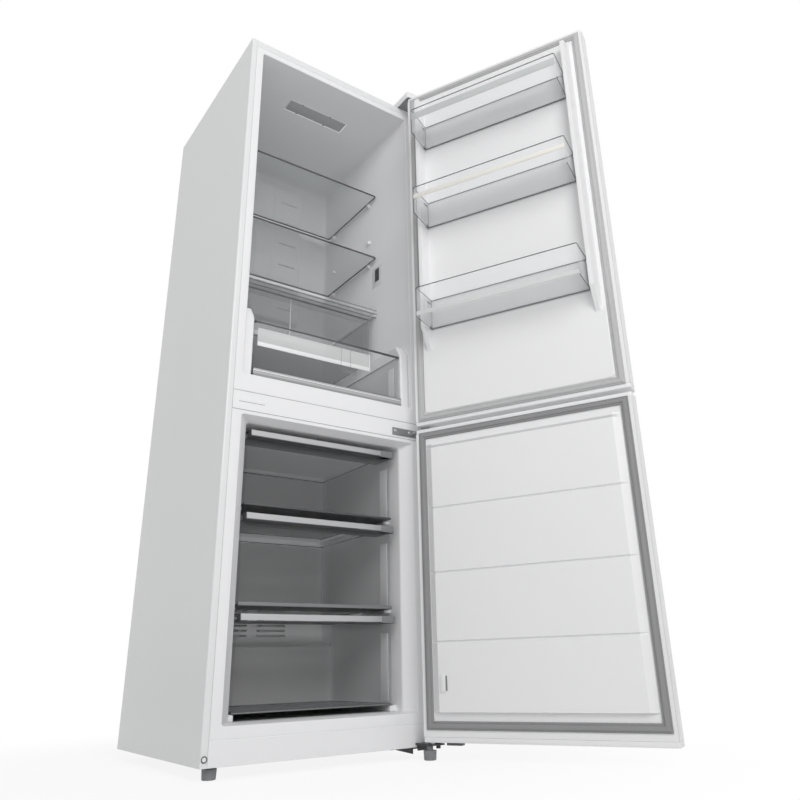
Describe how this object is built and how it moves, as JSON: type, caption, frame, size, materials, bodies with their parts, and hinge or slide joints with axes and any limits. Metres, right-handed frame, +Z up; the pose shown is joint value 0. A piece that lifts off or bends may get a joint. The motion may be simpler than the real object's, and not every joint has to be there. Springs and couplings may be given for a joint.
{
  "type": "bottom freezer refrigerator",
  "caption": "Tall fridge over freezer with open swinging doors, door bins, glass shelves, clear sliding drawers with aluminium bars, cooling parts, levelling feet and rollers.",
  "frame": {"origin": "floor point under the middle of the cabinet", "axes": "+Z up, +Y to the rear, +X to the right of someone facing the doors"},
  "size_m": [0.838, 1.1916, 2.01],
  "materials": {
    "white_steel": "smooth white enamel",
    "zinc_steel": "plain zinc-plated steel",
    "foam": "rigid foam, out of sight",
    "white_plastic": "white moulded plastic with a soft sheen",
    "lamp_plastic": "translucent grey lens in a shallow tray",
    "clear_plastic": "clear moulded plastic, grey at the edges",
    "shelf_glass": "toughened clear glass",
    "frosted_band": "frosted white band",
    "satin_aluminium": "satin aluminium",
    "gasket_rubber": "soft grey seal",
    "grey_plastic": "moulded grey plastic",
    "black_paint": "black paint"
  },
  "bodies": {
    "cabinet": {"side_left": "white_steel", "side_right": "white_steel", "roof": "white_steel", "back_sheet": "zinc_steel", "base_tray": "zinc_steel", "insulation": "foam", "fridge_liner": "white_plastic", "freezer_liner": "white_plastic", "drawer_rails": "white_plastic", "strip_cover": "white_plastic", "plinth": "white_plastic", "air_duct": "white_plastic", "lamp": "lamp_plastic", "wall_fittings": "white_plastic", "freezer_cover": "white_plastic", "evaporator": "satin_aluminium", "fan_motor": "black_paint", "compressor": "black_paint", "condenser": "black_paint", "rear_cover": "grey_plastic", "hinge_top": "zinc_steel", "hinge_cover": "white_plastic", "hinge_middle": "zinc_steel", "hinge_low": "black_paint", "screws": "zinc_steel", "roller_frames": "zinc_steel", "crisper_shelf": "shelf_glass"},
    "door_upper": {"up_skin": "white_steel", "up_foam": "foam", "up_liner": "white_plastic", "up_gasket": "gasket_rubber", "up_caps": "white_plastic", "up_bushes": "grey_plastic"},
    "door_lower": {"low_skin": "white_steel", "low_foam": "foam", "low_liner": "white_plastic", "low_gasket": "gasket_rubber", "low_caps": "white_plastic", "low_bushes": "grey_plastic"},
    "top_bin": {"bin_top": "clear_plastic", "band_top": "frosted_band"},
    "middle_bin": {"bin_middle": "clear_plastic", "band_middle": "frosted_band"},
    "low_bin": {"bin_low": "clear_plastic"},
    "upper_shelf": {"shelf_upper": "shelf_glass"},
    "lower_shelf": {"shelf_lower": "shelf_glass"},
    "crisper_drawer": {"crisper": "clear_plastic"},
    "flex_drawer": {"flex_box": "clear_plastic", "flex_trim": "satin_aluminium"},
    "freezer_drawer_1": {"drawer_1": "clear_plastic", "bar_1": "satin_aluminium"},
    "freezer_drawer_2": {"drawer_2": "clear_plastic", "bar_2": "satin_aluminium"},
    "freezer_drawer_3": {"drawer_3": "clear_plastic", "bar_3": "satin_aluminium"},
    "fan": {"fan_rotor": "grey_plastic"},
    "left_foot": {"foot_left": "grey_plastic"},
    "right_foot": {"foot_right": "grey_plastic"},
    "left_roller": {"roller_left": "grey_plastic"},
    "right_roller": {"roller_right": "grey_plastic"}
  },
  "joints": [
    {"name": "upper_door_swing", "type": "hinge", "parent": "cabinet", "child": "door_upper", "pos_m": [0.2795, -0.352, 1.408], "axis": [0, 0, 1], "range_deg": [-116, 0]},
    {"name": "lower_door_swing", "type": "hinge", "parent": "cabinet", "child": "door_lower", "pos_m": [0.2795, -0.352, 0.4305], "axis": [0, 0, 1], "range_deg": [-116, 0]},
    {"name": "top_bin_lift", "type": "slide", "parent": "door_upper", "child": "top_bin", "axis": [0, 0, 1], "range_m": [0, 0.04]},
    {"name": "middle_bin_lift", "type": "slide", "parent": "door_upper", "child": "middle_bin", "axis": [0, 0, 1], "range_m": [0, 0.04]},
    {"name": "low_bin_lift", "type": "slide", "parent": "door_upper", "child": "low_bin", "axis": [0, 0, 1], "range_m": [0, 0.04]},
    {"name": "upper_shelf_slide", "type": "slide", "parent": "cabinet", "child": "upper_shelf", "axis": [0, -1, 0], "range_m": [0, 0.12]},
    {"name": "lower_shelf_slide", "type": "slide", "parent": "cabinet", "child": "lower_shelf", "axis": [0, -1, 0], "range_m": [0, 0.12]},
    {"name": "crisper_slide", "type": "slide", "parent": "cabinet", "child": "crisper_drawer", "axis": [0, -1, 0], "range_m": [0, 0.225]},
    {"name": "flex_drawer_slide", "type": "slide", "parent": "cabinet", "child": "flex_drawer", "axis": [0, -1, 0], "range_m": [0, 0.3]},
    {"name": "freezer_drawer_1_slide", "type": "slide", "parent": "cabinet", "child": "freezer_drawer_1", "axis": [0, -1, 0], "range_m": [0, 0.35]},
    {"name": "freezer_drawer_2_slide", "type": "slide", "parent": "cabinet", "child": "freezer_drawer_2", "axis": [0, -1, 0], "range_m": [0, 0.35]},
    {"name": "freezer_drawer_3_slide", "type": "slide", "parent": "cabinet", "child": "freezer_drawer_3", "axis": [0, -1, 0], "range_m": [0, 0.28]},
    {"name": "fan_spin", "type": "hinge", "parent": "cabinet", "child": "fan", "pos_m": [0, 0.182, 0.345], "axis": [0, 1, 0], "continuous": true},
    {"name": "left_foot_turn", "type": "hinge", "parent": "cabinet", "child": "left_foot", "pos_m": [-0.264, -0.271, 0.012], "axis": [0, 0, 1], "continuous": true},
    {"name": "right_foot_turn", "type": "hinge", "parent": "cabinet", "child": "right_foot", "pos_m": [0.256, -0.349, 0.012], "axis": [0, 0, 1], "continuous": true},
    {"name": "left_roller_spin", "type": "hinge", "parent": "cabinet", "child": "left_roller", "pos_m": [-0.2, 0.255, 0.012], "axis": [1, 0, 0], "continuous": true},
    {"name": "right_roller_spin", "type": "hinge", "parent": "cabinet", "child": "right_roller", "pos_m": [0.2, 0.255, 0.012], "axis": [1, 0, 0], "continuous": true}
  ]
}
